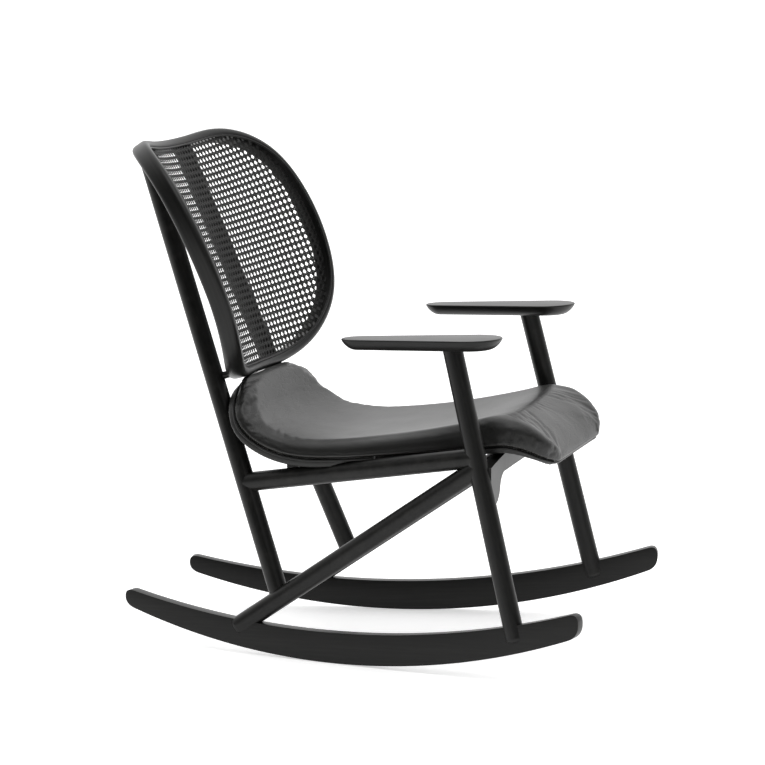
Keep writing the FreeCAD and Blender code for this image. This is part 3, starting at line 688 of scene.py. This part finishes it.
def mesh_array(mesh):
    flat = np.empty(len(mesh.vertices) * 3)
    mesh.vertices.foreach_get("co", flat)
    return flat.reshape(-1, 3)


def baked(piece):
    """Replaces the mesh of a piece by what its modifiers make of it."""
    view = bpy.context.evaluated_depsgraph_get()
    made = bpy.data.meshes.new_from_object(piece.evaluated_get(view))
    piece.modifiers.clear()
    piece.data = made


def sewn_copy(node, name, voxel, material, relax=6):
    """A copy of a construction solid as one even skin, its hard edges relaxed."""
    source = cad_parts[node]
    piece = bpy.data.objects.new(name, source.data.copy())
    piece.data.transform(source.matrix_world)
    bpy.context.scene.collection.objects.link(piece)
    remesh = piece.modifiers.new("even", "REMESH")
    remesh.mode, remesh.voxel_size, remesh.use_smooth_shade = "VOXEL", voxel * MM, True
    soften = piece.modifiers.new("relax", "SMOOTH")
    soften.factor, soften.iterations = 0.5, relax
    baked(piece)
    piece.data.materials.clear()
    piece.data.materials.append(material)
    return piece


def leather(name, dark, light, crease_depth, rough=0.43):
    """Pigmented hide: fine pebbled grain, soft creases across the bend with painted shade darkening their
    lines, and a little polish.
    """
    finish = Finish(name)
    place = finish.where()
    pebble = finish.node("ShaderNodeTexVoronoi", {"feature": "F1"}, {"Vector": place, "Scale": 620.0})
    fine = finish.noise(place, 1500.0, 2.0)
    cloud = finish.noise(place, 11.0, 4.0, 0.6)
    stretched = finish.node("ShaderNodeVectorMath", {"operation": "MULTIPLY"}, [place, (16.0, 70.0, 70.0)])
    crease = finish.noise(stretched, 1.0, 3.0, 0.55)
    line = 1.0 - finish.ramp(finish.node("ShaderNodeMath", {"operation": "ABSOLUTE"}, [crease - 0.5]),
                             0.0, 0.035)
    depth = finish.node("ShaderNodeSeparateXYZ", {}, [place], out=1)
    bent = finish.ramp(depth, 0.04, 0.20) + finish.ramp(depth, -0.20, -0.30)
    bent = bent.up_to(1.0) * 0.8 + 0.2
    wear = finish.ramp(cloud, 0.35, 0.68)
    colour = finish.mix(wear, dark, light)
    # Painted shade: the crease lines are darkened in colour, most in the bent rear of the bucket and the
    # front lip; their dent is the bump below.
    colour = finish.mix(line * bent * 0.15, colour, tuple(v * 0.45 for v in dark))
    relief = finish.bump(line * -1.0 * bent, crease_depth, 0.55)
    grain = finish.bump(pebble + fine * 0.5, 0.00016, 0.30, relief)
    shine = rough + finish.ramp(cloud, 0.3, 0.7) * 0.04 + finish.ramp(fine, 0.3, 0.7) * 0.04
    return finish.surface(Base_Color=colour, Roughness=shine, Normal=grain, Specular_IOR_Level=0.36)


seat_leather = leather("seat_leather", (0.0085, 0.0085, 0.0079), (0.0125, 0.0125, 0.0117), 0.00035, 0.35)
cover_leather = leather("cover_leather", (0.0085, 0.0085, 0.008), (0.014, 0.014, 0.013), 0.0003, 0.38)

# Seat pad: about 30 mm of foam under one hide, pulled over the edge of the shell
# and sewn there. The foam swells the hide; the edge band stays round and tight.
# Its thin upper rim is evened out first, so that the hide runs smoothly over it.
PAD_VOXEL, RIM_START, EDGE_HEIGHT = 5.0, 0.415, 5.0
SWELL_PRESSURE, SWELL_FRAMES, SWELL_LIMIT = 4.0, 20, 0.005
pad = sewn_copy("seat_pad", "bucket_seat_pad", PAD_VOXEL, seat_leather, 10)
rest = mesh_array(pad.data)
rim_group = pad.vertex_groups.new(name="bucket_rim")
for k in np.nonzero(rest[:, 2] > RIM_START)[0]:
    rim_group.add([int(k)], float(min(1.0, (rest[k, 2] - RIM_START) / 0.03)), "REPLACE")
even = pad.modifiers.new("even_rim", "SMOOTH")
even.factor, even.iterations, even.vertex_group = 0.5, 24, "bucket_rim"
baked(pad)
pad.vertex_groups.clear()
rest = mesh_array(pad.data)
height = over_seat_line(rest / MM)
held = np.nonzero(height < EDGE_HEIGHT)[0]
pad.vertex_groups.new(name="sewn_edge").add([int(k) for k in held], 1.0, "REPLACE")
swell = pad.modifiers.new("swell", "CLOTH")
swell.settings.vertex_group_mass = "sewn_edge"
swell.settings.use_pressure = True
swell.settings.uniform_pressure_force = SWELL_PRESSURE
swell.settings.effector_weights.gravity = 0.0
swell.settings.quality = 4
swell.settings.tension_stiffness = swell.settings.compression_stiffness = 12.0
swell.settings.bending_stiffness = 0.8
swell.point_cache.frame_start, swell.point_cache.frame_end = 1, SWELL_FRAMES
for step in range(1, SWELL_FRAMES + 1):
    bpy.context.scene.frame_set(step)
baked(pad)
moved = mesh_array(pad.data) - rest
reach = np.linalg.norm(moved, axis=1, keepdims=True)
moved *= np.minimum(1.0, SWELL_LIMIT / np.maximum(reach, 1e-9))
pad.data.vertices.foreach_set("co", (rest + moved).ravel())
bpy.context.scene.frame_set(1)
pad.vertex_groups.clear()
finer = pad.modifiers.new("finer", "SUBSURF")
finer.levels = finer.render_levels = 1
baked(pad)
pad.data.polygons.foreach_set("use_smooth", [True] * len(pad.data.polygons))
shape = mesh_array(pad.data)
normals = np.empty(len(pad.data.vertices) * 3)
pad.data.vertices.foreach_get("normal", normals)
normals = normals.reshape(-1, 3)
height = over_seat_line(shape / MM)

# The finished skin: a groove along the seam, small puckers in the rolled front,
# a little more foam, and an upper end that reaches the hoop.
SEAM_HEIGHT, SEAM_WIDTH, SEAM_DEPTH = 1.5, 1.5, 1.3
groove = SEAM_DEPTH * np.exp(-((height - SEAM_HEIGHT) / SEAM_WIDTH) ** 2) * (np.abs(normals[:, 0]) > 0.45)
pull = np.array([noise.noise(Vector((p[0] * 9, p[1] * 38, p[2] * 38))) for p in shape])
tuck_rear = np.clip((shape[:, 1] - 0.06) / 0.12, 0, 1)
tuck_front = np.clip((-0.24 - shape[:, 1]) / 0.08, 0, 1)
puckers = pull * (0.15 + 0.2 * tuck_rear + 0.9 * tuck_front) * np.clip(height / 12 - 0.5, 0, 1)
full = (1.4 + 1.8 * np.clip((shape[:, 2] - 0.43) / 0.03, 0, 1)) * np.clip((height + 2) / 4, 0, 1)
shape = shape + normals * ((puckers + full - groove) * MM)[:, None]
shape[:, 2] += 4.2 * MM * np.clip((shape[:, 2] - 0.455) / 0.04, 0, 1)
pad.data.vertices.foreach_set("co", shape.ravel())
pad.data.update()
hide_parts("seat_pad")
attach(pad, "root")

# Stitching: two rows of waxed thread along the sewn edge of the pad, one stitch
# to every 4.6 mm, on both sides of the seat and along the front lip.
skin_tree = BVHTree.FromPolygons([tuple(p) for p in shape],
                                 [tuple(q.vertices) for q in pad.data.polygons])
STITCH_PITCH, STITCH_LENGTH, THREAD, LONGEST_STITCH = 4.6, 3.3, 0.42, 0.006
STITCH_ROWS = (-0.6, 3.8)
stitch_points, stitch_faces = [], []


def lay_stitch(first, last, outward):
    """One stitch between two spots on the hide, sunk into it at both ends."""
    run = (last - first).normalized()
    side = run.cross(outward).normalized()
    start = len(stitch_points)
    for t, swell_at, lift_at in ((0, 0.25, -0.5), (0.18, 0.8, 0.1), (0.5, 1.0, 0.45), (0.82, 0.8, 0.1),
                                 (1, 0.25, -0.5)):
        middle = first.lerp(last, t) + outward * (lift_at * THREAD * MM)
        for k in range(6):
            angle = math.pi * k / 3
            stitch_points.append(middle + (side * math.cos(angle) + outward * math.sin(angle))
                                 * (swell_at * THREAD * MM))
    for ring in range(4):
        for k in range(6):
            a, b = start + ring * 6 + k, start + ring * 6 + (k + 1) % 6
            stitch_faces.append((a, b, b + 6, a + 6))
    stitch_faces.append(tuple(start + k for k in reversed(range(6))))
    stitch_faces.append(tuple(start + 24 + k for k in range(6)))


def edge_spot(place, offset, sign):
    """Where the side of the pad is, offset over the seat line at a place along it."""
    y, z, _, half = (np.interp(place, seat_length, seat_run[:, c]) for c in range(4))
    ny, nz = (np.interp(place, seat_length, seat_lift[:, c]) for c in range(2))
    source = Vector((sign * (half + 60), y + ny * offset, z + nz * offset)) * MM
    return skin_tree.ray_cast(source, Vector((-sign, 0, 0)))


for sign in (1, -1):
    for offset in STITCH_ROWS:
        place = 24.0
        while place < seat_length[-1] - 22:
            first, last = edge_spot(place, offset, sign), edge_spot(place + STITCH_LENGTH, offset, sign)
            if first[0] and last[0] and (first[0] - last[0]).length < LONGEST_STITCH:
                lay_stitch(first[0], last[0], first[1])
            place += STITCH_PITCH
for offset in STITCH_ROWS:
    for k in range(-34, 35):
        ends = []
        for x in (k * STITCH_PITCH, k * STITCH_PITCH + STITCH_LENGTH):
            ends.append(skin_tree.ray_cast(
                Vector((x, seat_run[-1, 0] - 60, seat_run[-1, 1] + offset - 2)) * MM, Vector((0, 1, 0))))
        if ends[0][0] and ends[1][0] and (ends[0][0] - ends[1][0]).length < LONGEST_STITCH:
            lay_stitch(ends[0][0], ends[1][0], ends[0][1])
thread = Finish("waxed_thread")
thread_twist = thread.noise(thread.where(), 2400.0, 2.0)
thread_paint = thread.surface(
    Base_Color=thread.mix(thread_twist, (0.060, 0.060, 0.056), (0.13, 0.128, 0.12)),
    Roughness=0.5 + thread_twist * 0.1, Normal=thread.bump(thread_twist, 0.0002, 0.5))
stitches = made_mesh("seat_edge_stitching", stitch_points, stitch_faces, thread_paint)
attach(stitches, "root")

# Under cover: the hide that wraps the edge and the underside of the shell.
cover = sewn_copy("seat_under_cover", "shell_under_cover", 3.0, cover_leather, 2)
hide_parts("seat_under_cover")
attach(cover, "root")

# Welt: a thin piped cord in the seam between the pad and the under cover, run
# down one side, along the front lip and up the other side.
WELT_RADIUS, WELT_INSET, WELT_DROP = 2.1, 4.0, 4.3
side_line = np.stack([seat_run[:, 3] - WELT_INSET, seat_run[:, 0] - WELT_DROP * seat_lift[:, 0],
                      seat_run[:, 1] - WELT_DROP * seat_lift[:, 1]], 1)[::4]
tip = seat_run[-1, :2] + seat_heading[-1] * 5 - seat_lift[-1] * 3
lip_line = np.array([(x, tip[0], tip[1]) for x in (150, 110, 75, 35, 0)])
half_line = np.vstack([side_line, lip_line])
welt_path = smooth_run(np.vstack([half_line, (half_line * [-1, 1, 1])[-2::-1]]), 4)
welt_run = np.gradient(welt_path, axis=0)
welt_run /= np.linalg.norm(welt_run, axis=1, keepdims=True)
welt_side = np.cross(welt_run, [0.0, 0.0, 1.0])
weak = np.linalg.norm(welt_side, axis=1) < 0.2
welt_side[weak] = np.cross(welt_run[weak], [0.0, 1.0, 0.0])
welt_side /= np.linalg.norm(welt_side, axis=1, keepdims=True)
welt_rise = np.cross(welt_side, welt_run)
welt_rings = []
for k in range(len(welt_path)):
    radius = WELT_RADIUS * (1 + 0.03 * math.sin(k * 1.7))
    turns = [welt_side[k] * math.cos(a) + welt_rise[k] * math.sin(a)
             for a in np.linspace(0, 2 * math.pi, 12, endpoint=False)]
    welt_rings.append([Vector(welt_path[k] + turn * radius) * MM for turn in turns])
welt_points, welt_faces = skin(welt_rings)
welt = made_mesh("piped_seat_welt", welt_points, welt_faces, cover_leather)
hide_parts("seat_welt")
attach(welt, "root")

# Hidden parts of the joints, the cross boards, the spacers and the shell keep their
# solids: raw beech pins, dark steel screws, and stained wood for the rest.
pale_beech = Finish("raw_beech")
pale_noise = pale_beech.noise(pale_beech.where(), 160.0, 4.0)
pale_paint = pale_beech.surface(
    Base_Color=pale_beech.mix(pale_noise, (0.46, 0.33, 0.20), (0.60, 0.45, 0.29)), Roughness=0.6,
    Normal=pale_beech.bump(pale_noise, 0.0001, 0.4))
steel = Finish("screw_steel")
steel_noise = steel.noise(steel.where(), 700.0, 3.0)
steel_paint = steel.surface(Base_Color=(0.05, 0.05, 0.05), Metallic=1.0,
                            Roughness=0.28 + steel_noise * 0.2)
shell_stain = black_wood("shell_ply_stain", (1, 0, 0))
for node, paint in (("rocker_pins", pale_paint), ("frame_dowels", pale_paint), ("yoke_dowels", pale_paint),
                    ("seat_shell", shell_stain), ("hoop_screws", steel_paint), ("seat_screws", steel_paint)):
    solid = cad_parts[node]
    solid.data.materials.clear()
    solid.data.materials.append(paint)
for node, way in (("rear_cross_rail", (1, 0, 0)), ("hoop_spacers", (0, 1, -0.3)),
                  ("front_yoke", (0.1, 0, 1))):
    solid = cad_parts[node]
    solid.data.materials.clear()
    solid.data.materials.append(black_wood(node + "_wood", way))
